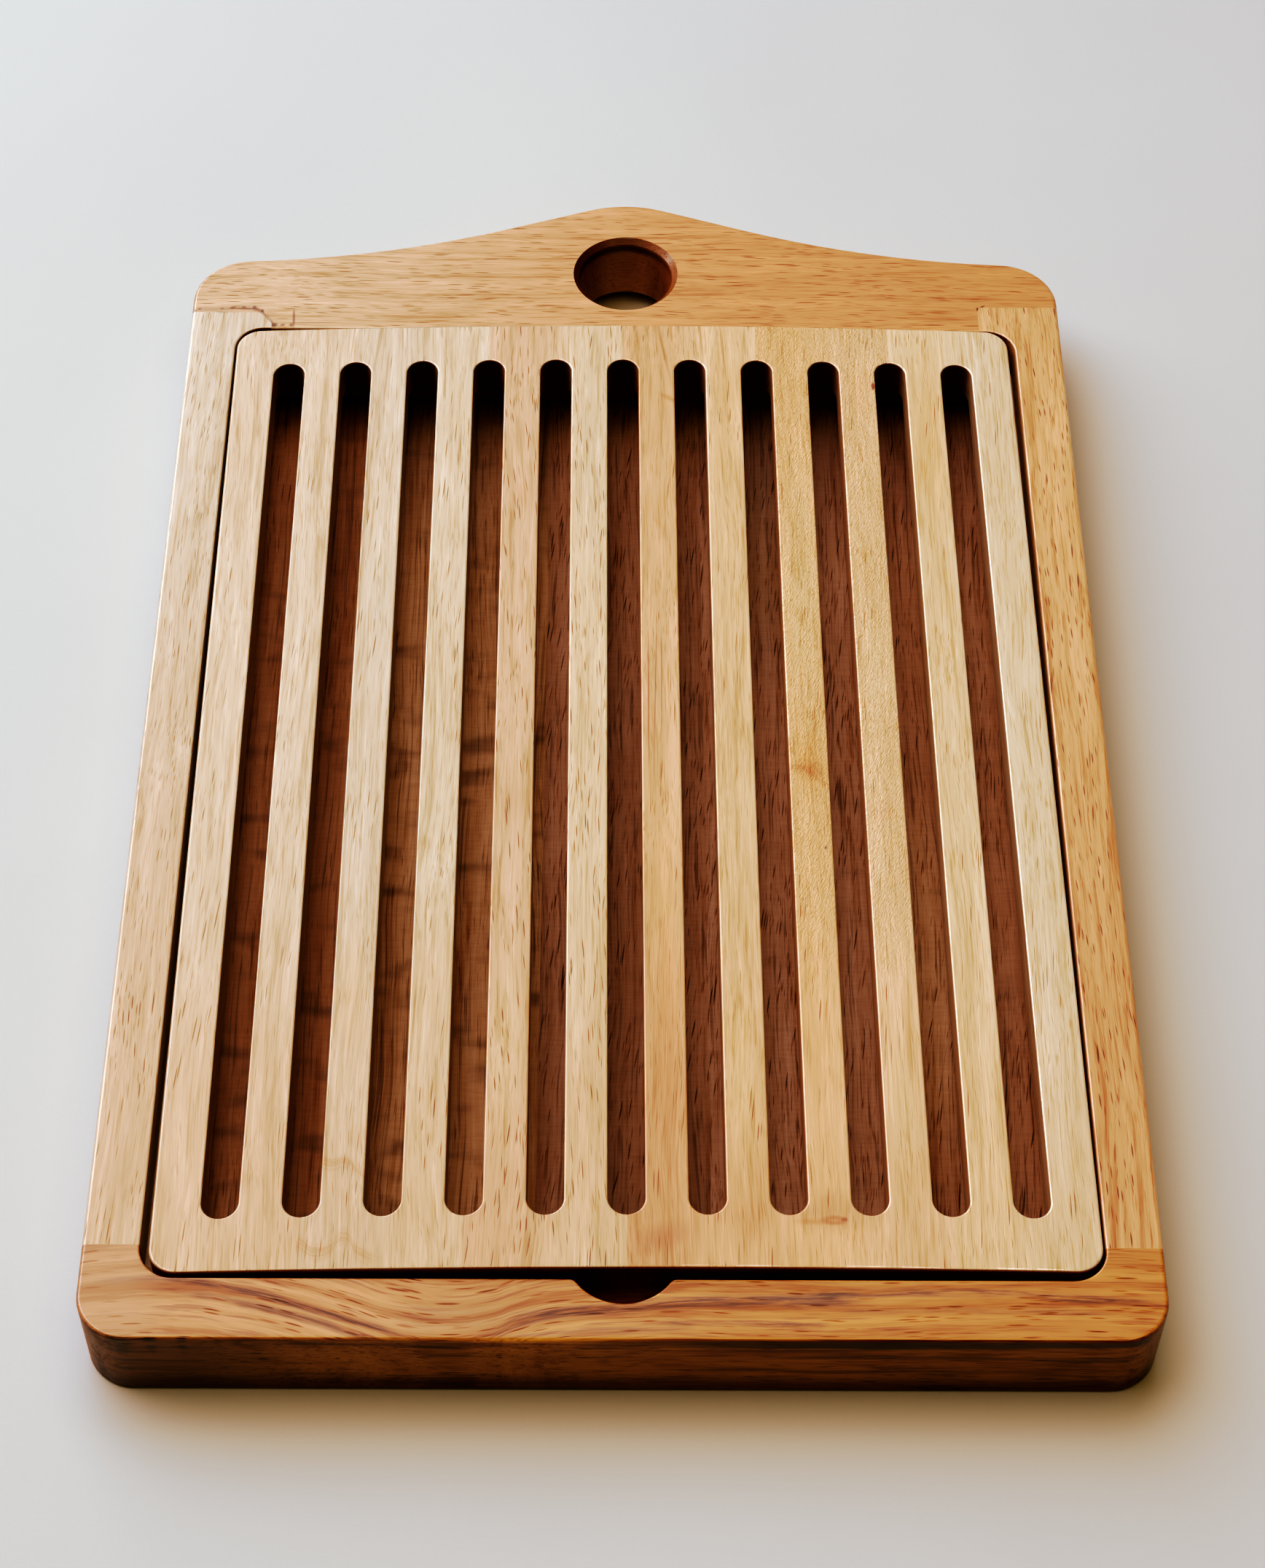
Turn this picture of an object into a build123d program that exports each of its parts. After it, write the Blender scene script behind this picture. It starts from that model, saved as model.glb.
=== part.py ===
from build123d import *
import os
from math import asin, atan2, cos, degrees, hypot, radians, tan

# A crumb-catching bread board. Four rails, dowelled and glued at the corners, make a tray with a floor
# panel let into its underside. A slotted grid lies loose in the tray's recess, over the crumb hollow,
# and lifts straight out by a finger scoop in the front rail.
# Lengths are millimetres and angles are degrees. +Z is up, +Y points to the hanging hole, and the
# origin is on the table under the middle of the board.

# Slotted grid, glued up from staves and a little cupped, so its middle stands above its long edges
grid_width = 247.0
grid_length = 341.5
grid_thickness = 12.0
grid_crown = 3.0
grid_edge_round = 0.8
slot_count = 11
slot_width = 9.8
slot_edge_round = 0.5
side_bar = 12.6
end_bar = 15.75
slots_per_stave = 2

# How the grid lies in its recess: a little askew, and pushed towards the back
side_clearance = 1.5
end_clearance = 1.2
seat_clearance = 0.1
skew_share = 0.6
pushed_back_share = 0.3

# Recess and crumb hollow, milled into the four rails after they were glued
recess_corner_radius = 9.0
recess_edge_round = 0.6
crumb_depth = 9.0

# Rails: each land is what shows beside the recess, and the rest of the rail is the ledge under the grid
stile_land = 15.0
stile_width = 26.0
front_land = 17.6
front_rail_width = 27.0
back_land = 30.5
back_ledge = 11.0
left_head_length = 7.0
left_head_round = 5.5
right_head_length = 11.0
right_head_round = 2.0

# Outline: rounded corners, and an arch with flared flanks over the hanging hole. Each flank meets its
# shoulder at a share of the half width, and the flare between them takes a share of the shoulder
front_corner_radius = 13.0
back_corner_radius = 18.0
arch_rise = 28.0
crest_radius = 38.0
shoulder_slope = 3.0
flank_foot_share = 0.566
flare_share = 0.95
outer_edge_round = 1.2

# Hanging hole, with a bevelled rim on top and a wide one underneath, and finger scoop
hole_diameter = 30.0
hole_setback = 32.5
hole_rim_bevel = 2.0
hole_rim_round = 1.2
hole_foot_bevel = 5.5
scoop_radius = 15.0
scoop_depth = 7.0
scoop_drop = 6.0
scoop_lip_round = 2.5

# Floor panel, glued up from staves and let into a rebate round the underside
floor_thickness = 6.0
floor_lift = 1.0
floor_lap = 4.0
floor_stave_count = 5

# Dowels that hold the corner joints, two to a corner
dowel_diameter = 6.0
dowel_length = 24.0
dowel_spacing = 12.0
dowel_chamfer = 0.6
dowel_glue_gap = 0.05
dowel_end_gap = 1.0

# How far a cutting shape runs past what it cuts
overrun = 5.0

# Heights
floor_top = floor_lift + floor_thickness
ledge_height = floor_top + crumb_depth
board_thickness = ledge_height + grid_thickness
scoop_floor = ledge_height - scoop_drop

# Slots: spread evenly between the grid's side bars, and as long as its end bars leave them
slot_length = grid_length - 2 * end_bar
slot_pitch = (grid_width - 2 * side_bar - slot_width) / (slot_count - 1)

# Plan: the front face, the recess, the shoulders and the crest, from front to back
recess_width = grid_width + 2 * side_clearance
recess_length = grid_length + 2 * end_clearance
board_width = recess_width + 2 * stile_land
body_length = front_land + recess_length + back_land
board_length = body_length + arch_rise
front = -board_length / 2
side = board_width / 2
stile_inner = side - stile_width
recess_front = front + front_land
recess_back = recess_front + recess_length
front_joint = front + front_rail_width
shoulder = front + body_length
crest = front + board_length
hole_y = crest - hole_setback
hollow_back = recess_back - back_ledge
scoop_y = recess_front - scoop_depth + scoop_radius


def prism(face, low, high):
    """The upright solid that stands on a plan face, between two heights."""
    return extrude(Pos(0, 0, low) * face, high - low)


def plan_rectangle(left, right, near, far, radius=0):
    """A plan rectangle between two x values and two y values, with rounded corners where it has a radius."""
    centre = Pos((left + right) / 2, (near + far) / 2)
    if radius > 0:
        return centre * RectangleRounded(right - left, far - near, radius)
    return centre * Rectangle(right - left, far - near)


def box_between(left, right, near, far, low, high):
    """A plain block between two x values, two y values and two heights."""
    return prism(plan_rectangle(left, right, near, far), low, high)


def board_outline():
    """The plan outline: straight flanks slope down from the crest circle and flare out into the shoulders."""
    fall = radians(shoulder_slope)
    foot_x = flank_foot_share * side
    foot_y = shoulder + (side - foot_x) * tan(fall)
    centre_rise = crest - crest_radius - foot_y
    slope = atan2(centre_rise, foot_x) + asin(crest_radius / hypot(foot_x, centre_rise))
    apex = foot_y + foot_x * tan(slope)
    straight = (side - foot_x) / cos(fall) - back_corner_radius / tan((radians(90) + fall) / 2)
    flare_radius = flare_share * straight / tan((slope - fall) / 2)
    corners = [
        ((-side, front), front_corner_radius),
        ((side, front), front_corner_radius),
        ((side, shoulder), back_corner_radius),
        ((foot_x, foot_y), flare_radius),
        ((0, apex), crest_radius),
        ((-foot_x, foot_y), flare_radius),
        ((-side, shoulder), back_corner_radius),
    ]
    points = [point for point, radius in corners]
    radii = [radius for point, radius in corners]
    return make_face(FilletPolyline(*points, radius=radii, close=True))


def recess_outline():
    """The recess in plan, joined to the finger scoop by softened lips."""
    recess = plan_rectangle(-recess_width / 2, recess_width / 2, recess_front, recess_back, recess_corner_radius)
    joined = recess + Pos(0, scoop_y) * Circle(scoop_radius)
    lips = [v for v in joined.vertices() if abs(v.X) < scoop_radius and abs(v.Y - recess_front) < overrun]
    return fillet(lips, scoop_lip_round)


def inner_rims(solid, at_top):
    """The edges round the openings of the solid's top or bottom face, the shortest ring first."""
    faces = solid.faces().sort_by(Axis.Z)
    face = faces[-1] if at_top else faces[0]
    return sorted(face.inner_wires(), key=lambda ring: ring.length)


def hole_cutter():
    """What the hanging hole takes out: a bore with a bevel at each end, the top one blended into it."""
    radius = hole_diameter / 2
    top = board_thickness + overrun
    points = [
        (0, -overrun),
        (radius + hole_foot_bevel + overrun, -overrun),
        (radius, hole_foot_bevel),
        (radius, board_thickness - hole_rim_bevel),
        (radius + hole_rim_bevel + overrun, top),
        (0, top),
    ]
    profile = Plane.XZ * make_face(FilletPolyline(*points, radius=[0, 0, 0, hole_rim_round, 0, 0], close=True))
    return Pos(0, hole_y) * revolve(profile, Axis.Z)


def tray_frame():
    """The four rails as if they were one piece, with everything that was milled after gluing."""
    frame = prism(board_outline(), 0, board_thickness)
    rim = frame.edges().group_by(Axis.Z)
    frame = fillet(rim[0] + rim[-1], outer_edge_round)
    frame -= prism(recess_outline(), ledge_height, board_thickness + overrun)
    frame -= Pos(0, scoop_y) * prism(Circle(scoop_radius), scoop_floor, board_thickness)
    frame -= box_between(-stile_inner, stile_inner, front_joint, hollow_back, 0, ledge_height + overrun)
    frame -= box_between(
        -stile_inner - floor_lap,
        stile_inner + floor_lap,
        front_joint - floor_lap,
        hollow_back + floor_lap,
        -overrun,
        floor_top,
    )
    frame -= hole_cutter()
    return fillet(inner_rims(frame, True)[-1].edges(), recess_edge_round)


def stile_region(hand, head_length, head_round):
    """The block that a stile is cut from. Hand is -1 for the left stile and 1 for the right."""
    head = recess_back + head_length
    inner = hand * stile_inner
    outer = hand * (side + overrun)
    corners = [(outer, front_joint), (inner, front_joint), (inner, head), (outer, head)]
    face = make_face(FilletPolyline(*corners, radius=[0, 0, head_round, 0], close=True))
    return prism(face, -overrun, board_thickness + overrun)


def dowels(radius, half_length):
    """The corner dowels, or the holes for them, each lying along Y across its joint."""
    height = (floor_top + ledge_height) / 2
    middle = side - stile_width / 2
    pins = []
    for hand, head_length in ((-1, left_head_length), (1, right_head_length)):
        for joint in (front_joint, recess_back + head_length):
            for offset in (-dowel_spacing / 2, dowel_spacing / 2):
                place = Pos(hand * middle + offset, joint, height) * Rot(90, 0, 0)
                pins.append(place * Cylinder(radius, 2 * half_length))
    return pins


def grid_panel():
    """The whole grid, lying level about its own middle with its lower long edges at height zero."""
    half = grid_width / 2
    back = grid_length / 2
    section = make_face(
        [
            ThreePointArc((-half, 0), (0, grid_crown), (half, 0)),
            Line((half, 0), (half, grid_thickness)),
            ThreePointArc((half, grid_thickness), (0, grid_thickness + grid_crown), (-half, grid_thickness)),
            Line((-half, grid_thickness), (-half, 0)),
        ]
    )
    panel = extrude(Plane.XZ.offset(-back) * section, grid_length)
    panel = fillet(panel.edges().filter_by(Axis.Z), recess_corner_radius - side_clearance)
    for side_index in (0, 1):
        panel = fillet(broad_faces(panel)[side_index].outer_wire().edges(), grid_edge_round)
    tall = grid_thickness + grid_crown + overrun
    for index in range(slot_count):
        slot = SlotOverall(slot_length, slot_width, rotation=90)
        panel -= Pos(slot_x(index), 0) * prism(slot, -overrun, tall)
    for side_index in (0, 1):
        rings = broad_faces(panel)[side_index].inner_wires()
        panel = fillet([edge for ring in rings for edge in ring.edges()], slot_edge_round)
    return panel


def broad_faces(panel):
    """The underside and the top of the grid."""
    return panel.faces().sort_by(SortBy.AREA)[-2:].sort_by(Axis.Z)


def slot_x(index):
    """The x of a slot's centreline in the grid's own frame."""
    return (index - (slot_count - 1) / 2) * slot_pitch


def strips(solid, cuts):
    """The solid sawn along Y at each x in cuts, from left to right."""
    bounds = solid.bounding_box()
    edges = [bounds.min.X - overrun, *cuts, bounds.max.X + overrun]
    pieces = []
    for left, right in zip(edges[:-1], edges[1:]):
        saw = box_between(
            left,
            right,
            bounds.min.Y - overrun,
            bounds.max.Y + overrun,
            bounds.min.Z - overrun,
            bounds.max.Z + overrun,
        )
        pieces.append(solid & saw)
    return pieces


nodes = {}

# Rails
frame = tray_frame()
for hole in dowels(dowel_diameter / 2 + dowel_glue_gap, dowel_length / 2 + dowel_end_gap):
    frame -= hole
left_block = stile_region(-1, left_head_length, left_head_round)
right_block = stile_region(1, right_head_length, right_head_round)
front_block = box_between(
    -side - overrun, side + overrun, front - overrun, front_joint, -overrun, board_thickness + overrun
)
nodes["left_stile"] = frame & left_block
nodes["right_stile"] = frame & right_block
nodes["front_rail"] = frame & front_block
nodes["back_rail"] = frame - left_block - right_block - front_block

# Dowels
pins = dowels(dowel_diameter / 2, dowel_length / 2)
nodes["corner_dowels"] = Compound([chamfer(pin.edges(), dowel_chamfer) for pin in pins])

# Floor panel
floor_half = stile_inner + floor_lap
floor_panel = box_between(
    -floor_half, floor_half, front_joint - floor_lap, hollow_back + floor_lap, floor_lift, floor_top
)
floor_stave = 2 * floor_half / floor_stave_count
floor_cuts = [floor_stave * index - floor_half for index in range(1, floor_stave_count)]
for index, stave in enumerate(strips(floor_panel, floor_cuts)):
    nodes[f"floor_stave_{index + 1}"] = stave

# Grid, sawn into its staves along slot centrelines and then laid in the recess
skew = degrees(asin(skew_share * side_clearance / (grid_length / 2)))
recess_middle = (recess_front + recess_back) / 2
lie = Pos(0, recess_middle + pushed_back_share * end_clearance, ledge_height + seat_clearance) * Rot(0, 0, skew)
grid_cuts = [slot_x(index) for index in range(slots_per_stave - 1, slot_count, slots_per_stave)]
for index, stave in enumerate(strips(grid_panel(), grid_cuts)):
    nodes[f"grid_stave_{index + 1}"] = lie * stave

os.makedirs("parts", exist_ok=True)
for name, solid in nodes.items():
    export_step(solid, f"parts/{name}.step")
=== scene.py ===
import bpy
import bmesh
from math import radians
from mathutils import Matrix, Vector

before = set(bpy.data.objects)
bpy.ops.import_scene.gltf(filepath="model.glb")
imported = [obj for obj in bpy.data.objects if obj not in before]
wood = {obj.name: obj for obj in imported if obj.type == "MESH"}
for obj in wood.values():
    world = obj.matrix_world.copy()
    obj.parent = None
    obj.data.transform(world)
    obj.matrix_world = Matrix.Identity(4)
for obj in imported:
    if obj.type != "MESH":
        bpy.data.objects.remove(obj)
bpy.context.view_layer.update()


# Floor panel: five staves of rubberwood, glued edge to edge and let into the rails from below. Crumbs fall
# on it, and only the slots show it. It is oiled like the rest, darker than the grid, and was never sanded fine.

def place(tree, kind, inputs, **settings):
    """Adds a node. An input is a socket to link or a value to set."""
    node = tree.nodes.new("ShaderNode" + kind)
    for name, value in settings.items():
        setattr(node, name, value)
    for key, value in inputs.items():
        if isinstance(value, bpy.types.NodeSocket):
            tree.links.new(value, node.inputs[key])
        else:
            node.inputs[key].default_value = value
    return node


def work(tree, operation, first, second=0.0):
    """One sum on two values."""
    return place(tree, "Math", {0: first, 1: second}, operation=operation).outputs[0]


def times(tree, first, *others):
    """The product of several values."""
    for other in others:
        first = work(tree, "MULTIPLY", first, other)
    return first


def work_on_points(tree, operation, first, second):
    """One sum on two points."""
    return place(tree, "VectorMath", {0: first, 1: second}, operation=operation).outputs[0]


def reach(tree, points):
    """How far points are from the middle of their space."""
    return place(tree, "VectorMath", {0: points}, operation="LENGTH").outputs["Value"]


def span(tree, value, low, high, to_low=0.0, to_high=1.0):
    """Turns the range from low to high into another range, with soft ends."""
    inputs = {0: value, 1: low, 2: high, 3: to_low, 4: to_high}
    return place(tree, "MapRange", inputs, interpolation_type="SMOOTHSTEP").outputs[0]


def stain(tree, amount, under, over, blend="MIX"):
    """Lays one colour over another by an amount from 0 to 1."""
    colours = [value if isinstance(value, bpy.types.NodeSocket) else (*value, 1.0) for value in (under, over)]
    inputs = {0: amount, 6: colours[0], 7: colours[1]}
    return place(tree, "Mix", inputs, data_type="RGBA", blend_type=blend).outputs[2]


def tint(tree, under, amount, colour):
    """Multiplies what is under by a colour: below 1 it darkens, above 1 it lightens."""
    return stain(tree, amount, under, colour, "MULTIPLY")


def board_points(tree):
    """Where a point is on the board, in metres."""
    return place(tree, "TexCoord", {}).outputs["Object"]


def board_place(tree, axis):
    """Where a point is on the board, in millimetres along X, Y or Z."""
    return times(tree, place(tree, "SeparateXYZ", {0: board_points(tree)}).outputs[axis], 1000.0)


def in_millimetres(tree, points, turn=0.0, shift=(0.0, 0.0, 0.0)):
    """Points in metres, turned by degrees round Z, as millimetres."""
    inputs = {0: points, 1: shift, 2: (0, 0, radians(turn)), 3: (1000, 1000, 1000)}
    return place(tree, "Mapping", inputs).outputs[0]


def facing(tree):
    """The way the surface faces, along X, Y and Z."""
    return place(tree, "SeparateXYZ", {0: place(tree, "NewGeometry", {}).outputs["Normal"]}).outputs


def stretch(tree, points, across, along, offset=0.0, tilt=0.0):
    """Wood space with its unit changed to a cell of so many millimetres across and along the grain."""
    if tilt:
        points = place(tree, "Mapping", {0: points, 2: (0, 0, radians(tilt))}).outputs[0]
    inputs = {0: points, 1: (offset, offset, offset), 3: (1 / across, 1 / along, 1 / across)}
    return place(tree, "Mapping", inputs).outputs[0]


def streaks(tree, points, across, along, offset, detail=2.0, tilt=0.0):
    """Soft streaks of about so many millimetres across and along the grain, round 0."""
    cells = stretch(tree, points, across, along, offset, tilt)
    noise = place(tree, "TexNoise", {"Vector": cells, "Scale": 1.0, "Detail": detail, "Roughness": 0.6})
    return work(tree, "SUBTRACT", noise.outputs["Fac"], 0.5)


def dashes(tree, points, across, along, tilt, offset):
    """Short dashes where the surface cuts the wood's vessels: 0 outside a dash, up to 1 in it, some fainter."""
    rim, core = 0.28, 0.11
    cells = stretch(tree, points, across, along, offset, tilt)
    spots = place(tree, "TexVoronoi", {"Vector": cells, "Scale": 1.0})
    inside = span(tree, spots.outputs["Distance"], rim, core)
    chance = place(tree, "SeparateColor", {0: spots.outputs["Color"]}).outputs[0]
    return times(tree, inside, span(tree, chance, 0.1, 0.95, 0.1, 1.0))


def flow_line(tree, points):
    """A line through points along the board's width, in millimetres.

    Returns how far up the board it lies at each place along X, and how far along it that place is, from 0 to 1.
    """
    low, high = points[0][0], points[-1][0]
    bottom = min(y for _, y in points)
    rise = max(y for _, y in points) - bottom + 0.001
    along = work(tree, "DIVIDE", work(tree, "SUBTRACT", board_place(tree, "X"), low), high - low)
    line = place(tree, "FloatCurve", {"Value": along})
    steps = line.mapping.curves[0].points
    shares = [((x - low) / (high - low), (y - bottom) / rise) for x, y in points]
    steps[0].location, steps[1].location = shares[0], shares[-1]
    for share in shares[1:-1]:
        steps.new(*share)
    line.mapping.update()
    return work(tree, "ADD", times(tree, line.outputs[0], rise), bottom), along


def bent(tree, coordinates, points):
    """Wood space whose grain follows a line through points on the board."""
    parts = place(tree, "SeparateXYZ", {0: coordinates}).outputs
    straight = work(tree, "SUBTRACT", parts["Y"], work(tree, "DIVIDE", flow_line(tree, points)[0], 1000.0))
    return place(tree, "CombineXYZ", {0: parts["X"], 1: straight, 2: parts["Z"]}).outputs[0]


def log_place(seed):
    """Where in the log a board is sawn from, in millimetres."""
    return [seed * step for step in (37.0, 91.0, 53.0)]


def wood_space(tree, turn, seed, bend):
    """A board's place in the log, in millimetres with the grain along Y: straight, and wandering as it grew."""
    wave_width, wave_length, wave_height = 34, 120, 9.0
    coordinates = bent(tree, board_points(tree), bend) if bend else board_points(tree)
    straight = in_millimetres(tree, coordinates, turn, log_place(seed))
    waves = {"Vector": stretch(tree, straight, wave_width, wave_length), "Scale": 1.0, "Detail": 2.0}
    wander = place(tree, "TexNoise", waves).outputs["Color"]
    wander = work_on_points(tree, "SUBTRACT", wander, (0.5, 0.5, 0.5))
    wander = work_on_points(tree, "MULTIPLY", wander, (wave_height, 0.0, wave_height))
    return straight, work_on_points(tree, "ADD", straight, wander)


def growth(tree, grain, seed, pith, spacing):
    """The growth rings, whose cones taper slowly along the pith: how dark they are, round 0."""
    taper = 0.06
    middle = [start + offset for start, offset in zip(log_place(seed), pith)]
    centred = work_on_points(tree, "SUBTRACT", grain, middle)
    centred = work_on_points(tree, "MULTIPLY", centred, (1.0, taper, 1.0))
    ring = work(tree, "DIVIDE", reach(tree, centred), spacing)
    inputs = {"W": ring, "Scale": 1.0, "Detail": 3.0, "Roughness": 0.65}
    return work(tree, "SUBTRACT", place(tree, "TexNoise", inputs, noise_dimensions="1D").outputs["Fac"], 0.5)


def pores(tree, grain, vessels):
    """Every layer of dashes together. Those of the first layer come in crowds."""
    crowd_width, crowd_length = 8.0, 50.0
    crowd = span(tree, streaks(tree, grain, crowd_width, crowd_length, offset=17.0), -0.1, 0.12)
    marks = None
    for index, (across, along, tilt, strength) in enumerate(vessels):
        layer = times(tree, dashes(tree, grain, across, along, tilt, 23.0 + 6.0 * index), strength)
        if index == 0:
            marks = times(tree, layer, crowd)
        else:
            marks = work(tree, "MAXIMUM", marks, layer)
    return marks


def smudge(tree, shaded, straight, strength):
    """Dirt across the grain, less of it towards the back, and the ripple that the saw left."""
    clean_from, dirty_from = 90, 20
    dirt = span(tree, streaks(tree, straight, 16.0, 8.0, offset=31.0, detail=1.0), 0.0, 0.3, 0.0, strength)
    dirt = times(tree, dirt, span(tree, board_place(tree, "Y"), clean_from, dirty_from, 0.4, 1.0))
    shaded = tint(tree, shaded, dirt, (0.50, 0.42, 0.36))
    ripple = streaks(tree, straight, 6.0, 0.8, offset=33.0, detail=1.0)
    return tint(tree, shaded, span(tree, ripple, -0.2, 0.25, 0.0, 0.3), (0.72, 0.64, 0.55))


def tear(tree, shaded, straight, strength):
    """Grain that the plane tore, in all but the front of the board: its colour and its height."""
    smooth_to, torn_from = -120, -60
    torn_part = span(tree, board_place(tree, "Y"), smooth_to, torn_from, 0.0, strength)
    tufts = streaks(tree, straight, 0.45, 1.4, offset=37.0, tilt=28.0)
    shaded = tint(tree, shaded, span(tree, tufts, 0.06, 0.22, 0.0, torn_part), (0.78, 0.58, 0.40))
    shaded = tint(tree, shaded, span(tree, tufts, -0.06, -0.25, 0.0, torn_part), (1.12, 1.16, 1.25))
    return shaded, times(tree, tufts, times(tree, torn_part, 4.0))


def timber(name, turn, seed, colour, second=None, lean=("X", -1.0, 1.0), pith=(0, 60, -40), spacing=6.0,
           figure=0.5, bands=0.8, fibre=(0.42, 13.0, 0.75), lines=(0.5, 34.0, 0.9), line=(0.86, 0.71, 0.53),
           vessels=((0.55, 18.0, 0.0, 1.0),), vessel=(0.45, 0.33, 0.34), smudges=0.0, fuzz=0.0, gloss=0.36,
           wall_shade=0.0, shine=0.55, bend=(), shade=(0.79, 0.66, 0.50), ends=(0.34, 0.15, 0.12)):
    """Rubberwood as a solid, so that faces, edges and end grain agree.

    Turn is 90 where the grain runs along X, and seed is the board's number in the log. Lean is the way the colour
    turns into the second one: an axis of the board, and from where to where in millimetres. The pith is where the
    growth rings' middle lies, across, along and up, and spacing is the rings' width. Figure is how much the rings
    show and bands how much the soft bands do. Fibre is the width, length and strength of the fine grain, and
    lines the same of its darker lines. Each layer of vessels has a cell's width and length in millimetres, a tilt
    in degrees and a strength. Smudges lie across the grain, fuzz is torn grain, and walls is how much painted
    shade darkens the steep sides, those of the slots among them. Bend is a line on the board, in millimetres, that
    the grain follows. Line, vessel, shade and ends are what the darker lines, the vessels, the darkest bands and
    the end grain multiply the colour by. The end grain is darker wood, and the default ends is dark enough to
    paint the shade on the slots' end faces as well.
    """
    material = bpy.data.materials.new(name)
    material.use_nodes = True
    tree = material.node_tree
    straight, grain = wood_space(tree, turn, seed, bend)

    # Growth rings, soft bands, narrow bands and fine fibres make one tone, from pale to dark round 0.5.
    fibre_width, fibre_length, fibre_strength = fibre
    rings = growth(tree, grain, seed, pith, spacing)
    soft_bands = streaks(tree, grain, 6.0, 90.0, offset=3.0)
    narrow_bands = streaks(tree, grain, 1.5, 30.0, offset=5.0)
    fine = streaks(tree, grain, fibre_width, fibre_length, offset=7.0, detail=3.0)
    tone = work(tree, "ADD", times(tree, rings, figure * 1.8), 0.5)
    for layer, strength in ((soft_bands, bands), (narrow_bands, 0.95), (fine, fibre_strength)):
        tone = work(tree, "ADD", tone, times(tree, layer, strength))
    base = colour
    if second:
        base = stain(tree, span(tree, board_place(tree, lean[0]), lean[1], lean[2]), colour, second)
    shades = stain(tree, span(tree, tone, 0.1, 0.5), (1.12, 1.18, 1.28), (1.0, 1.0, 1.0))
    shades = stain(tree, span(tree, tone, 0.5, 1.0), shades, shade)
    shaded = tint(tree, base, 1.0, shades)
    line_width, line_length, line_strength = lines
    thin = streaks(tree, grain, line_width, line_length, offset=13.0)
    shaded = tint(tree, shaded, span(tree, thin, 0.02, 0.2, 0.0, line_strength), line)

    marks = pores(tree, grain, vessels)
    shaded = tint(tree, shaded, span(tree, marks, 0.0, 0.5), (0.95, 0.72, 0.50))
    shaded = tint(tree, shaded, marks, vessel)
    height = work(tree, "SUBTRACT", times(tree, fine, 0.5), marks)
    if smudges:
        shaded = smudge(tree, shaded, straight, smudges)
    if fuzz:
        shaded, tufts = tear(tree, shaded, straight, fuzz)
        height = work(tree, "ADD", height, tufts)

    # End grain is darker wood, and the default ends also paints the shade on the slots' end faces. Steep sides,
    # such as those of the slots, get painted shade. The arrises are rubbed paler and shinier than the faces, and
    # their paler, whiter colour is also a painted highlight.
    sides = facing(tree)
    end_grain = span(tree, work(tree, "ABSOLUTE", sides["X" if turn else "Y"]), 0.3, 0.8)
    # The end grain's darker colour; at the default strength it is also painted shade on the slots' end faces.
    shaded = tint(tree, shaded, end_grain, ends)
    upward = work(tree, "ABSOLUTE", sides["Z"])
    # Painted shade on steep sides.
    shaded = tint(tree, shaded, span(tree, upward, 0.55, 0.25, 0.0, wall_shade), (0.50, 0.30, 0.22))
    arris = times(tree, span(tree, upward, 0.995, 0.95), span(tree, upward, 0.35, 0.6))
    # Painted highlight along the arrises, on top of their rubbed paleness.
    shaded = tint(tree, shaded, arris, (1.25, 1.4, 1.6))

    pore_depth = 0.00015  # metres
    surface = tree.nodes["Principled BSDF"]
    tree.links.new(shaded, surface.inputs["Base Color"])
    dull = span(tree, work(tree, "ADD", tone, marks), 0.1, 1.2, gloss, gloss + 0.2)
    tree.links.new(work(tree, "SUBTRACT", dull, times(tree, arris, 0.12)), surface.inputs["Roughness"])
    tree.links.new(arris, surface.inputs["Coat Weight"])
    surface.inputs["Coat Roughness"].default_value = 0.2
    surface.inputs["Specular IOR Level"].default_value = shine
    bump = place(tree, "Bump", {"Strength": 0.7, "Distance": pore_depth, "Height": height})
    tree.links.new(bump.outputs[0], surface.inputs["Normal"])
    return material


def spot(tree, x, y, wide, long, turn=0.0, soft=0.4, up=30):
    """1 at a place on the board, in millimetres, fading to 0 at the rim of an oval. It lies at the height up."""
    centre = (x / 1000, y / 1000, up / 1000)
    half_size = (wide / 2000, long / 2000, 0.012)
    inputs = {0: board_points(tree), 1: centre, 2: (0, 0, radians(turn)), 3: half_size}
    oval = place(tree, "Mapping", inputs, vector_type="TEXTURE").outputs[0]
    return span(tree, reach(tree, oval), 1.0, soft)


def lay_over(material, amount, colour, blend="MULTIPLY"):
    """Multiplies a finished wood's colour by another where the amount is 1, or covers it with MIX."""
    tree = material.node_tree
    base = tree.nodes["Principled BSDF"].inputs["Base Color"]
    tree.links.new(stain(tree, amount, base.links[0].from_socket, colour, blend), base)


def finish(node, material):
    """Gives a piece its wood."""
    wood[node].data.materials.clear()
    wood[node].data.materials.append(material)


floor_top = 7  # millimetres above the table
floor_colours = (
    (0.264, 0.133, 0.070), (0.380, 0.242, 0.155), (0.286, 0.167, 0.117), (0.349, 0.217, 0.165),
    (0.321, 0.185, 0.126),
)
# Paler and darker parts of single staves: x, y, width and length in millimetres, and what multiplies the colour.
floor_tones = {
    2: (
        (-21, 15, 20, 260, (1.2, 1.27, 1.38)),
    ),
    3: (
        (-21, 15, 20, 260, (1.2, 1.27, 1.38)), (22, -70, 18, 190, (1.2, 1.26, 1.36)),
    ),
    4: (
        (44, 75, 20, 150, (0.79, 0.78, 0.70)),
    ),
    5: (
        (87, -85, 20, 170, (1.2, 1.35, 1.36)),
    ),
}
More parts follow.
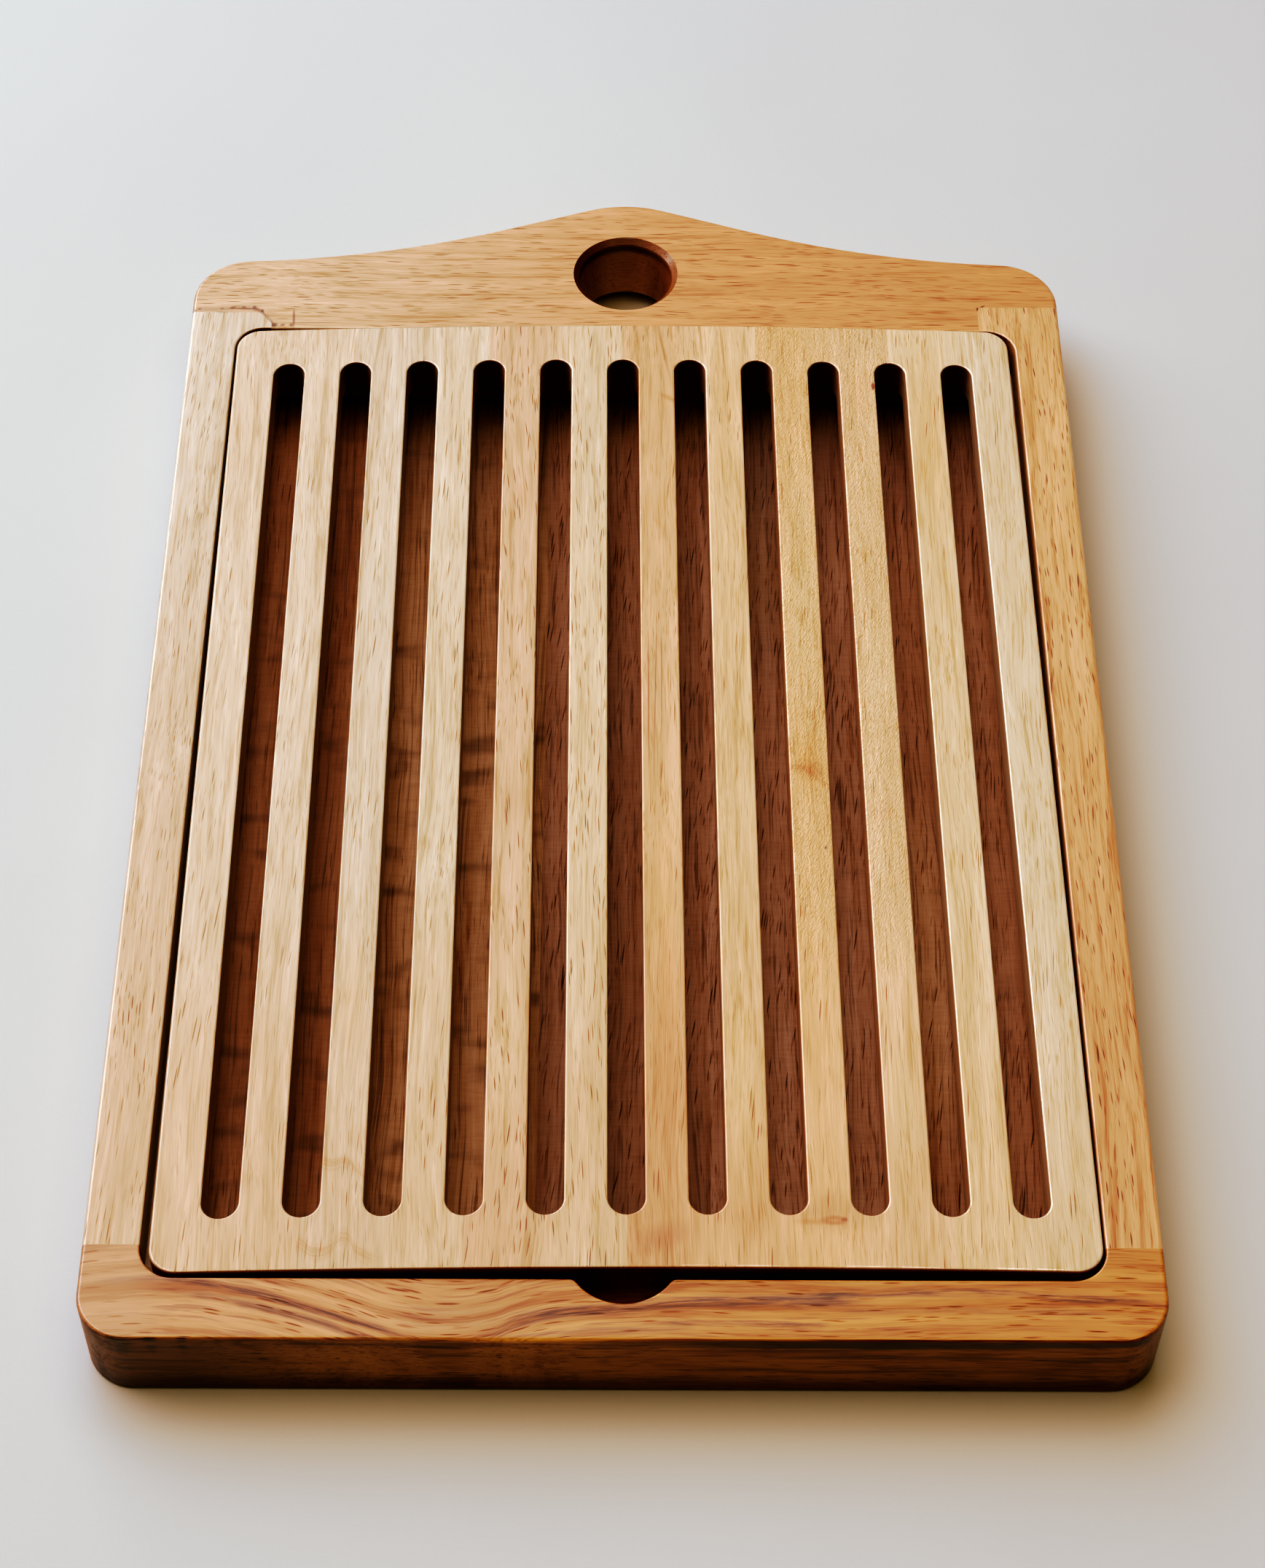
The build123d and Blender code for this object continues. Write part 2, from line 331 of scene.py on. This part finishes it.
# Staves whose back ends get painted shadow, where the grid and the back rail shade the floor, and from where to
# where it deepens.
shadowed_backs, shadow_from, shadow_to = (2, 4, 5), 62, 128
straight_vessels = ((0.6, 20.0, 0.0, 0.6), (0.45, 9.0, 2.0, 0.3))
tilted_vessels = ((1.0, 24.0, 5.0, 1.0), (0.8, 18.0, 8.0, 0.9), (0.6, 10.0, 3.0, 0.6))
# The two left staves are straight-grained and smudged, and the other three have slanting open pores.
smudged_cut = dict(fibre=(0.5, 120.0, 1.3), smudges=0.9, lines=(0.75, 150.0, 1.0), vessels=straight_vessels)
open_cut = dict(fibre=(0.5, 40.0, 1.3), smudges=0.25, lines=(0.7, 50.0, 0.9), vessels=tilted_vessels)
for index, colour in enumerate(floor_colours, 1):
    floor_wood = timber(
        f"floor_stave_{index}_wood", turn=0, seed=40 + index, colour=colour, pith=(10 * index - 30, 60, -40),
        spacing=7.0, line=(0.50, 0.40, 0.32), vessel=(0.16, 0.12, 0.12), gloss=0.5, shine=0.25,
        **(smudged_cut if index < 3 else open_cut),
    )
    floor_tree = floor_wood.node_tree
    # Painted shadow towards the back end.
    if index in shadowed_backs:
        back_shadow = span(floor_tree, board_place(floor_tree, "Y"), shadow_from, shadow_to)
        lay_over(floor_wood, back_shadow, (0.66, 0.60, 0.61))
    for x, y, wide, long, tone in floor_tones.get(index, ()):
        lay_over(floor_wood, spot(floor_tree, x, y, wide, long, soft=0.3, up=floor_top), tone)
    finish(f"floor_stave_{index}", floor_wood)


# Back rail: a solid rail of rubberwood with an arched outer edge and the bored hole that the board hangs by. The
# stiles' heads run into its two notches, and dowels and glue hold them.

def trail(tree, points, width, strength, wander=0.5):
    """A bundle of dark fibres along a line through points on the board, in millimetres, fading at its ends."""
    middle, along = flow_line(tree, points)
    away = work(tree, "SUBTRACT", board_place(tree, "Y"), middle)
    fibres = in_millimetres(tree, bent(tree, board_points(tree), points))
    sway = times(tree, streaks(tree, fibres, 16.0, 30.0, offset=points[0][0]), wander * 4.0)
    side = span(tree, work(tree, "ABSOLUTE", work(tree, "ADD", away, sway)), width * 0.5, width * 0.1)
    ends = span(tree, work(tree, "ABSOLUTE", work(tree, "SUBTRACT", along, 0.5)), 0.5, 0.38)
    breaks = streaks(tree, fibres, 11.0, 0.6, offset=points[-1][0], detail=3.0)
    broken = span(tree, breaks, -0.14, 0.10, 0.25, 1.0)
    return times(tree, side, ends, times(tree, broken, strength))


back_wood = timber(
    "back_rail_wood", turn=90, seed=3, colour=(0.410, 0.278, 0.180), second=(0.400, 0.196, 0.091),
    lean=("X", -110, 40), pith=(190, 20, -60), figure=0.6, lines=(0.45, 20.0, 1.0), line=(0.80, 0.60, 0.38),
    vessels=((0.95, 17.0, 0.0, 1.0), (0.6, 12.0, 2.0, 0.9)), vessel=(0.38, 0.26, 0.24),
    shade=(0.72, 0.52, 0.33), ends=(0.62, 0.48, 0.38),
)
finish("back_rail", back_wood)
back_tree = back_wood.node_tree

# Painted shade on the bored hole's wall and rim, least of it at the right, which faces the window.
hole_y, hole_rim = 177.5, 38
bore_shade = times(
    back_tree,
    span(back_tree, work(back_tree, "ABSOLUTE", facing(back_tree)["Z"]), 0.98, 0.7),
    spot(back_tree, 0, hole_y, hole_rim, hole_rim, soft=0.9),
    span(back_tree, board_place(back_tree, "X"), 17.0, 3.0, 0.45, 1.0),
)
lay_over(back_wood, bore_shade, (0.23, 0.14, 0.12))

# Corner joints as the maker left them: brown filler in the left one, with a dark notch and two small splits, and
# a gap in the right one. Each mark is x, y, width, length, turn and what multiplies the colour.
back_marks = (
    (-122.5, 160.3, 10, 1.0, 0, (0.35, 0.16, 0.10)), (-139, 159.2, 1.6, 1.2, 0, (0.4, 0.2, 0.15)),
    (-117.2, 158.8, 1.4, 1.0, 0, (0.3, 0.15, 0.1)), (-115.6, 156.4, 1.5, 1.2, 30, (0.3, 0.15, 0.1)),
    (-113.2, 152.8, 3.6, 2.8, 20, (0.16, 0.07, 0.05)), (-107.0, 156.0, 1.2, 12, 3, (0.42, 0.24, 0.18)),
    (-103, 153.9, 22, 0.5, 0, (0.55, 0.34, 0.24)), (-110, 152.2, 6, 1.2, 0, (0.9, 0.7, 0.62)),
    (-137.8, 159.9, 2.4, 1.5, 10, (0.50, 0.32, 0.27)), (-130.4, 160.2, 2.0, 1.4, 0, (0.55, 0.36, 0.30)),
    (-127.0, 160.6, 3.0, 1.8, 15, (0.42, 0.24, 0.20)), (-123.4, 160.9, 2.2, 1.6, -20, (0.42, 0.24, 0.20)),
    (-120.0, 160.9, 2.0, 2.0, 0, (0.35, 0.18, 0.14)), (-117.4, 159.4, 1.6, 1.8, 0, (0.25, 0.12, 0.09)),
    (-110.4, 152.9, 2.4, 1.6, 20, (0.45, 0.26, 0.22)), (-107.6, 152.8, 2.0, 2.4, 0, (0.40, 0.22, 0.18)),
    (114.2, 161.4, 1.4, 3.4, 15, (0.10, 0.04, 0.03)), (115.8, 163.0, 2.6, 1.0, 25, (0.25, 0.12, 0.08)),
)
for x, y, wide, long, turn, colour in back_marks:
    lay_over(back_wood, spot(back_tree, x, y, wide, long, turn, 0.3), colour)
joint_line = [(-121, 160.3), (-118.4, 159.4), (-116.2, 157), (-114.2, 154.4), (-112.6, 151.6)]
lay_over(back_wood, trail(back_tree, joint_line, 2.6, 1.0, 0.1), (0.30, 0.13, 0.09))
filler_line = [(-139.5, 159.4), (-134, 159.5), (-128, 160.0), (-122, 160.5), (-117, 159.6)]
lay_over(back_wood, trail(back_tree, filler_line, 4.0, 0.5, 0.35), (0.50, 0.32, 0.26))


# Front rail: a solid rail of rubberwood with rounded outer corners and the finger scoop milled out of its inner
# edge. Its flat-sawn figure flows along it in dark streaks.

rail_flow = (
    (-142, 3), (-130, 5.5), (-116, 6.5), (-100, 4.5), (-85, 1), (-70, -3.5), (-55, -7.5), (-45, -8.5),
    (-36, -7.5), (-27, -4.5), (-15, -1.5), (3, 0.5), (14, 1.4), (30, 1.4), (57, 1.4), (100, 2.6), (142, 1.0),
)
front_wood = timber(
    "front_rail_wood", turn=90, seed=5, colour=(0.352, 0.161, 0.072), second=(0.351, 0.150, 0.039),
    lean=("X", -80, 50), pith=(-200, -30, 20), spacing=5.0, figure=0.9, bands=1.2, lines=(0.6, 22.0, 1.0),
    line=(0.62, 0.47, 0.40), vessels=((1.2, 15.0, 0.0, 1.0), (0.8, 12.0, 1.0, 0.8)), vessel=(0.24, 0.14, 0.16),
    bend=rail_flow, shade=(0.62, 0.48, 0.38), ends=(0.62, 0.50, 0.42),
)
finish("front_rail", front_wood)
front_tree = front_wood.node_tree
front_sides = facing(front_tree)
faces_front = span(front_tree, front_sides["Y"], -0.35, -0.85)
faces_up = span(front_tree, front_sides["Z"], 0.5, 0.85)
across_rail = board_place(front_tree, "X")

# Dark streaks on the top face: the points they run through, their width and their strength.
left_flow = [
    (-140, -195.5), (-130, -193.5), (-116, -193), (-100, -195.4), (-85, -199.5), (-70, -204.5), (-50, -210.5),
]
middle_flow = [
    (-42, -213), (-32, -208), (-24, -203.8), (-12, -201.6), (3, -200.6), (14, -199.2), (35, -198.8), (66, -198.6),
]
right_flow = [(36, -197.6), (60, -196.6), (85, -196.2), (112, -197.4), (141, -199.2)]
front_streaks = (
    (left_flow, 3.2, 1.0),
    ([(x, y - 3.6) for x, y in left_flow[2:]], 3.0, 0.8),
    (middle_flow, 5.5, 1.0),
    ([(-36, -212.5), (-20, -208.6), (0, -207), (20, -206)], 3.5, 0.6),
    (right_flow, 3.4, 1.0),
    ([(8, -204.8), (30, -205.2), (54, -205.3)], 2.4, 0.9),
    ([(52, -201.6), (90, -201.2), (128, -202.4)], 2.6, 0.5),
    ([(-100, -200), (-84, -203), (-70, -208)], 3.0, 0.6),
)
for points, width, strength in front_streaks:
    streak = times(front_tree, trail(front_tree, points, width, strength), faces_up)
    lay_over(front_wood, streak, (0.22, 0.12, 0.15))

# The front face is tinted more golden than the top, partly its own colour and partly painted shade, with brown
# streaks and a dark band of painted shade along its foot, where it meets the table.
lay_over(front_wood, faces_front, (1.0, 1.02, 0.42))
face_points = in_millimetres(front_tree, board_points(front_tree), 90)
face_streaks = streaks(front_tree, face_points, 2.4, 60.0, offset=61.0, detail=3.0)
face_lines = times(front_tree, faces_front, span(front_tree, face_streaks, 0.0, 0.18))
lay_over(front_wood, face_lines, (0.5, 0.36, 0.3))
height_up = work(front_tree, "ADD", board_place(front_tree, "Z"), times(front_tree, face_streaks, 5.0))
# Painted shade along the foot of the front face.
foot_shade = times(front_tree, faces_front, span(front_tree, height_up, 10.0, 4.0))
lay_over(front_wood, foot_shade, (0.5, 0.3, 0.3))

# A dark line runs along the upper arris, right of the middle, and the front face's left end is browner.
arris_height = 26.0
off_arris = work(front_tree, "ABSOLUTE", work(front_tree, "SUBTRACT", height_up, arris_height))
arris_line = times(
    front_tree,
    span(front_tree, across_rail, -20.0, 50.0),
    span(front_tree, across_rail, 139.0, 132.0),
    span(front_tree, off_arris, 2.4, 1.2),
    span(front_tree, front_sides["Y"], -0.35, -0.6),
)
lay_over(front_wood, arris_line, (0.25, 0.1, 0.1))
left_corner = times(front_tree, faces_front, span(front_tree, across_rail, -70.0, -115.0, 0.0, 0.9))
lay_over(front_wood, left_corner, (0.45, 0.35, 0.4))

# A brown cloud on the top face, a golden one on the front face, and the pale left end of the top.
lay_over(front_wood, spot(front_tree, -40, -203, 60, 18, turn=4, soft=0.0), (0.79, 0.79, 0.78))
golden = times(front_tree, faces_front, spot(front_tree, -28, -210, 60, 40, soft=0.1))
lay_over(front_wood, golden, (1.5, 1.6, 1.3))
left_end = times(front_tree, faces_up, span(front_tree, across_rail, -112.0, -130.0, 0.0, 0.6))
lay_over(front_wood, left_end, (0.365, 0.200, 0.125), "MIX")

# Rough dark patches on the front face's left end: x, y and width.
for x, y, wide in ((-137, -209.5, 7), (-128, -210, 10), (-120, -210, 5), (-112, -210, 4)):
    patch = times(front_tree, faces_front, spot(front_tree, x, y, wide, 8, soft=0.3))
    rough_patch = times(front_tree, patch, span(front_tree, face_streaks, -0.12, 0.02))
    lay_over(front_wood, rough_patch, (0.12, 0.06, 0.08))


# Stiles: two rubberwood rails with the grain along the board, butted against the front rail. The left one's head
# is longer than the right one's.

left_wood = timber(
    "left_stile_wood", turn=0, seed=7, colour=(0.396, 0.270, 0.180), second=(0.424, 0.345, 0.266),
    lean=("Y", -160, 120), pith=(-120, 60, 60), spacing=7.0, figure=0.45,
    vessels=((0.75, 20.0, 0.0, 1.0), (0.5, 12.0, 2.0, 0.5)), shade=(0.78, 0.64, 0.50),
)
finish("left_stile", left_wood)
lay_over(left_wood, trail(left_wood.node_tree, joint_line, 2.2, 0.8, 0.1), (0.40, 0.2, 0.14))
right_wood = timber(
    "right_stile_wood", turn=0, seed=9, colour=(0.415, 0.228, 0.124), second=(0.453, 0.279, 0.162),
    lean=("Y", -150, 60), pith=(150, -60, 70), spacing=5.0, figure=1.0, lines=(0.5, 26.0, 1.0),
    line=(0.80, 0.58, 0.36), vessels=((1.1, 15.0, 2.0, 1.0), (0.75, 10.0, -3.0, 0.9)),
    vessel=(0.22, 0.10, 0.08), shade=(0.74, 0.52, 0.32),
)
finish("right_stile", right_wood)


# Corner dowels: two turned pegs in each of the four corner joints, eight in all. They are of a pale close-grained
# wood, glued into bored holes in the rails and the stiles, and all of them are hidden.

finish("corner_dowels", timber(
    "corner_dowels_wood", turn=0, seed=11, colour=(0.45, 0.36, 0.27), pith=(0, 60, 60), spacing=5.0, figure=0.4,
))


# Grid: six staves of rubberwood, glued edge to edge on every second slot's centreline, with eleven slots milled
# through. It lies loose on its ledge and has cupped a little, so its middle stands higher than its long edges.

faint_vessels = ((0.6, 20.0, 3.0, 0.7), (0.5, 13.0, -3.0, 0.25))
fine_vessels = ((0.6, 20.0, 3.0, 0.9), (0.5, 13.0, -3.0, 0.3))
clear_vessels = ((0.6, 18.0, 4.0, 1.0), (0.65, 15.0, -4.0, 0.8))
grid_staves = (
    dict(colour=(0.423, 0.329, 0.242), figure=0.35, vessels=faint_vessels),
    dict(colour=(0.410, 0.322, 0.238), second=(0.436, 0.347, 0.256), lean=("X", -70, -55), figure=0.4,
         vessels=fine_vessels, vessel=(0.36, 0.25, 0.25)),
    dict(colour=(0.421, 0.287, 0.194), second=(0.448, 0.345, 0.243), lean=("X", -28, -14), figure=0.4,
         vessels=clear_vessels, vessel=(0.28, 0.17, 0.17)),
    dict(colour=(0.418, 0.263, 0.157), second=(0.462, 0.331, 0.216), lean=("X", 12, 28), figure=0.75,
         lines=(0.5, 26.0, 1.0), vessels=fine_vessels, vessel=(0.36, 0.24, 0.22)),
    dict(colour=(0.472, 0.308, 0.182), second=(0.478, 0.332, 0.217), lean=("X", 54, 72), figure=0.5,
         vessels=fine_vessels, fuzz=0.8),
    dict(colour=(0.487, 0.373, 0.262), second=(0.498, 0.406, 0.311), lean=("X", 98, 112), figure=0.45,
         lines=(0.5, 26.0, 1.0), vessels=fine_vessels),
)
# Each stave turns browner towards the front, from where to where along the board, and by how much.
brown_from, brown_to = -50, -165
front_tones = (
    (0.95, 0.83, 0.74), (0.95, 0.84, 0.76), (0.94, 0.84, 0.78), (0.91, 0.76, 0.68), (0.95, 0.90, 0.90),
    (0.96, 0.88, 0.82),
)
grid_woods = []
for index, (stave, front_tone) in enumerate(zip(grid_staves, front_tones), 1):
    pith = (30 * index - 90, 40, 60)
    # The staves' steep sides, the slots' among them, get painted shade.
    stave_wood = timber(f"grid_stave_{index}_wood", turn=0, seed=20 + index, pith=pith, wall_shade=0.6, **stave)
    stave_tree = stave_wood.node_tree
    lay_over(stave_wood, span(stave_tree, board_place(stave_tree, "Y"), brown_from, brown_to), front_tone)
    finish(f"grid_stave_{index}", stave_wood)
    grid_woods.append(stave_wood)

# Marks that single staves have: x, y, width, length and turn, how soft they are from 0 for the softest, and what
# multiplies the colour. The fourth stave's back has slanting brown streaks, and the fifth's front a small knot.
grid_marks = {
    1: (
        (-95.4, 68, 14, 76, 0, 0.2, (1.03, 1.06, 1.09)),
    ),
    2: (
        (-74, 50, 14, 100, 0, 0.0, (1.02, 1.06, 1.10)), (-53, -98, 16, 66, 0, 0.1, (0.97, 0.92, 0.87)),
        (-74, -106, 14, 70, 0, 0.1, (0.97, 0.90, 0.80)), (-74.2, 66, 14, 76, 0, 0.2, (1.05, 1.05, 1.05)),
    ),
    3: (
        (-10.6, 100, 14, 150, 0, 0.1, (0.94, 0.95, 0.95)), (-31.8, 78, 12, 26, 0, 0.0, (0.96, 0.88, 0.84)),
        (-31.8, -40, 12, 22, 0, 0.0, (0.96, 0.90, 0.87)), (-31.8, -125, 14, 96, 0, 0.2, (1.10, 1.24, 1.30)),
        (-10.6, -145, 14, 90, 0, 0.1, (0.95, 0.91, 0.87)),
    ),
    4: (
        (11, -78, 14, 110, 0, 0.1, (0.99, 0.93, 0.82)), (31.8, 105, 14, 130, 0, 0.0, (0.98, 0.94, 0.88)),
        (31.8, -143, 14, 60, 0, 0.1, (1.03, 1.07, 1.09)), (3, 152, 2.5, 12, 0, 0.0, (0.80, 0.55, 0.38)),
        (5.4, 155, 1.2, 12, 3, 0.0, (0.75, 0.48, 0.34)), (9, 152, 2.0, 20, 8, 0.0, (0.86, 0.68, 0.52)),
        (12, 140, 1.6, 36, 9, 0.1, (0.80, 0.60, 0.42)), (16.8, 155, 0.8, 22, 1, 0.2, (0.55, 0.34, 0.28)),
        (31, 140, 1.2, 44, 4, 0.1, (0.82, 0.62, 0.45)), (24, 146, 1.0, 30, 3, 0.1, (0.80, 0.60, 0.45)),
        (14, 118, 12, 3.2, -35, 0.0, (0.86, 0.68, 0.5)), (7, -2, 0.7, 70, 0, 0.3, (0.72, 0.45, 0.35)),
        (9, 0, 0.6, 78, -1, 0.3, (0.72, 0.45, 0.35)), (10.8, 2, 0.5, 60, 0, 0.3, (0.74, 0.5, 0.4)),
        (12, -125, 13, 110, 0, 0.2, (0.96, 0.84, 0.75)), (31.8, -130, 14, 76, 0, 0.2, (1.07, 1.15, 1.17)),
        (31.8, 122, 14, 44, 0, 0.1, (0.93, 0.87, 0.79)), (32, -176, 22, 22, 0, 0.0, (0.94, 0.86, 0.8)),
        (10, -182, 26, 12, 20, 0.0, (0.88, 0.72, 0.68)),
    ),
    5: (
        (53, 40, 14, 140, 0, 0.2, (1.0, 1.08, 1.14)), (74.2, -140, 14, 70, 0, 0.1, (1.03, 1.10, 1.12)),
        (74.2, 12, 14, 70, 0, 0.1, (1.02, 1.06, 1.08)), (54, 160, 30, 14, 0, 0.0, (0.95, 0.82, 0.75)),
        (53, -26, 15, 32, 0, 0.0, (0.95, 0.83, 0.68)), (53.2, -29, 13, 9, -20, 0.0, (0.82, 0.64, 0.48)),
        (56.8, -56.7, 0.9, 1.6, 0, 0.3, (0.25, 0.12, 0.10)),
        (54.9, -176.5, 9.0, 3.8, 0, 0.4, (0.78, 0.54, 0.42)),
        (54.6, -176.5, 5.2, 1.9, 0, 0.2, (1.15, 1.35, 1.4)),
        (57.4, -176.2, 2.4, 1.8, 0, 0.2, (0.65, 0.38, 0.34)), (49, -177, 14, 3, 0, 0.0, (0.9, 0.74, 0.6)),
        (54, -174, 34, 18, 0, 0.0, (0.85, 0.75, 0.68)), (74.2, 122, 14, 34, 0, 0.1, (0.96, 0.90, 0.85)),
        (73.2, -44.5, 9, 12, 0, 0.0, (0.96, 0.88, 0.88)), (78.4, 124.9, 1.6, 5, 0, 0.3, (0.35, 0.12, 0.08)),
    ),
    6: (
        (95.4, 90, 16, 160, 0, 0.1, (0.98, 0.94, 0.88)), (116.6, -125, 18, 140, 0, 0.2, (1.03, 1.06, 1.10)),
        (116.6, 60, 18, 130, 0, 0.1, (0.98, 0.96, 0.93)), (95, 104, 20, 100, 0, 0.1, (0.96, 0.89, 0.82)),
        (97.5, 20, 1.2, 90, 1, 0.2, (0.88, 0.76, 0.6)), (101, 10, 0.5, 60, 0, 0.3, (0.7, 0.5, 0.4)),
    ),
}
for index, marks in grid_marks.items():
    stave_wood = grid_woods[index - 1]
    for x, y, wide, long, turn, soft, colour in marks:
        lay_over(stave_wood, spot(stave_wood.node_tree, x, y, wide, long, turn, soft), colour)

# Wavy stains on the second stave's front end and a curl on the fifth stave: points, then the bundle's width.
long_wave = [
    (-87, -179.5), (-83, -183.5), (-79, -186), (-75.5, -185), (-72.5, -181.5), (-69, -185.5), (-63, -189),
]
short_wave = [(-81, -156.5), (-77, -159.5), (-73, -158.5), (-70, -161.5), (-66, -165.5)]
curl = [(46, -30), (50, -28), (54, -30.5), (58, -34.5), (62, -36)]
wavy_lines = ((2, long_wave, 7.0), (2, short_wave, 6.0), (5, curl, 3.0))
for index, points, width in wavy_lines:
    stave_wood = grid_woods[index - 1]
    lay_over(stave_wood, trail(stave_wood.node_tree, points, width, 0.9, 1.2), (0.88, 0.72, 0.58))


# Studio: a pale table top that goes over into a plain backdrop, a big soft window at the back left and a dim
# warm ceiling light.

backdrop_colour = (0.715, 0.741, 0.676)
backdrop_from, backdrop_to = 450.0, 1150.0  # millimetres from the board's middle
table_reach = 6.0  # metres
table_mesh = bpy.data.meshes.new("table_top")
table_shape = bmesh.new()
bmesh.ops.create_grid(table_shape, x_segments=1, y_segments=1, size=table_reach)
table_shape.to_mesh(table_mesh)
table_shape.free()
table_top = bpy.data.objects.new("table_top", table_mesh)
bpy.context.scene.collection.objects.link(table_top)

laminate = bpy.data.materials.new("table_laminate")
laminate.use_nodes = True
top_tree = laminate.node_tree
top_surface = top_tree.nodes["Principled BSDF"]
top_points = in_millimetres(top_tree, board_points(top_tree))
speckle = streaks(top_tree, top_points, 1.1, 1.1, offset=2.0, detail=4.0)
cloudy = streaks(top_tree, top_points, 160.0, 160.0, offset=5.0, detail=3.0)
paleness = work(top_tree, "ADD", times(top_tree, speckle, 0.5), cloudy)
top_colour = stain(top_tree, span(top_tree, paleness, -0.4, 0.4), (0.420, 0.420, 0.422), (0.440, 0.440, 0.438))
far_off = span(top_tree, reach(top_tree, top_points), backdrop_from, backdrop_to)
top_tree.links.new(stain(top_tree, far_off, top_colour, (0.0, 0.0, 0.0)), top_surface.inputs["Base Color"])
top_surface.inputs["Emission Color"].default_value = (*backdrop_colour, 1.0)
top_tree.links.new(far_off, top_surface.inputs["Emission Strength"])
top_surface.inputs["Roughness"].default_value = 0.6
top_bump = place(top_tree, "Bump", {"Strength": 0.25, "Distance": 0.0001, "Height": speckle})
top_tree.links.new(top_bump.outputs[0], top_surface.inputs["Normal"])
table_mesh.materials.append(laminate)

world = bpy.data.worlds.new("room")
bpy.context.scene.world = world
world.use_nodes = True
room = world.node_tree
room_light = room.nodes["Background"]
room_light.inputs["Color"].default_value = (1.0, 0.9, 0.8, 1)
room_light.inputs["Strength"].default_value = 0.01
backdrop = place(room, "Background", {"Color": (*backdrop_colour, 1), "Strength": 1.0})
seen = place(room, "LightPath", {}).outputs["Is Camera Ray"]
both = place(room, "MixShader", {0: seen, 1: room_light.outputs[0], 2: backdrop.outputs[0]})
room.links.new(both.outputs[0], room.nodes["World Output"].inputs["Surface"])


def soft_light(name, side, power, colour, stands_at, aim=None):
    """A square light with a side in metres, aimed along a direction, or straight down."""
    light = bpy.data.lights.new(name, "AREA")
    light.shape = "RECTANGLE"
    light.size = side
    light.size_y = side
    light.energy = power
    light.color = colour
    stand = bpy.data.objects.new(name, light)
    stand.location = stands_at
    if aim:
        stand.rotation_euler = Vector(aim).to_track_quat("-Z", "Y").to_euler()
    stand.visible_camera = False
    bpy.context.scene.collection.objects.link(stand)


soft_light("window", 3.9, 216, (0.906, 0.976, 1.0), (-1.3, 1.36, 2.4), (1.3, -1.36, -2.4))
soft_light("ceiling", 3.0, 41, (1.0, 0.89, 0.43), (0, -0.3, 2.6))


# Camera: stands in front of the board, 0.96 m from its middle, and looks down on it. Its place, turn and lens were
# solved from the board's edges in the photograph.

camera = bpy.data.cameras.new("camera")
camera.sensor_width = 36
camera.lens = 73.636
camera.shift_x = 0.0005
camera.clip_start = 0.01
camera_object = bpy.data.objects.new("camera", camera)
bpy.context.scene.collection.objects.link(camera_object)
camera_object.matrix_world = (
    Matrix.Translation((-0.002848, -0.591527, 0.759513))
    @ Matrix.Rotation(radians(-0.509), 4, "Z")
    @ Matrix.Rotation(radians(37.388), 4, "X")
    @ Matrix.Rotation(radians(0.677), 4, "Z")
)
bpy.context.scene.camera = camera_object


# Print: the photograph's deep shadows. The rows are red, green and blue, and each holds the tones that come out
# where 0.1, 0.2 and so on to 0.9 go in.

print_curves = (
    (0.003, 0.052, 0.165, 0.326, 0.497, 0.638, 0.726, 0.779, 0.876),
    (0.003, 0.048, 0.134, 0.257, 0.400, 0.530, 0.652, 0.749, 0.867),
    (0.003, 0.029, 0.105, 0.219, 0.342, 0.500, 0.648, 0.792, 0.907),
)


def to_light(value):
    """The amount of light that a tone of the finished picture stands for, both from 0 to 1."""
    return ((value + 0.055) / 1.055) ** 2.4 if value > 0.04 else value / 12.92


view = bpy.context.scene.view_settings
view.view_transform = "Standard"
view.use_curve_mapping = True
for channel, tones in enumerate(print_curves):
    for step, tone in enumerate(tones, 1):
        view.curve_mapping.curves[channel].points.new(to_light(step / 10), to_light(tone))
view.curve_mapping.update()
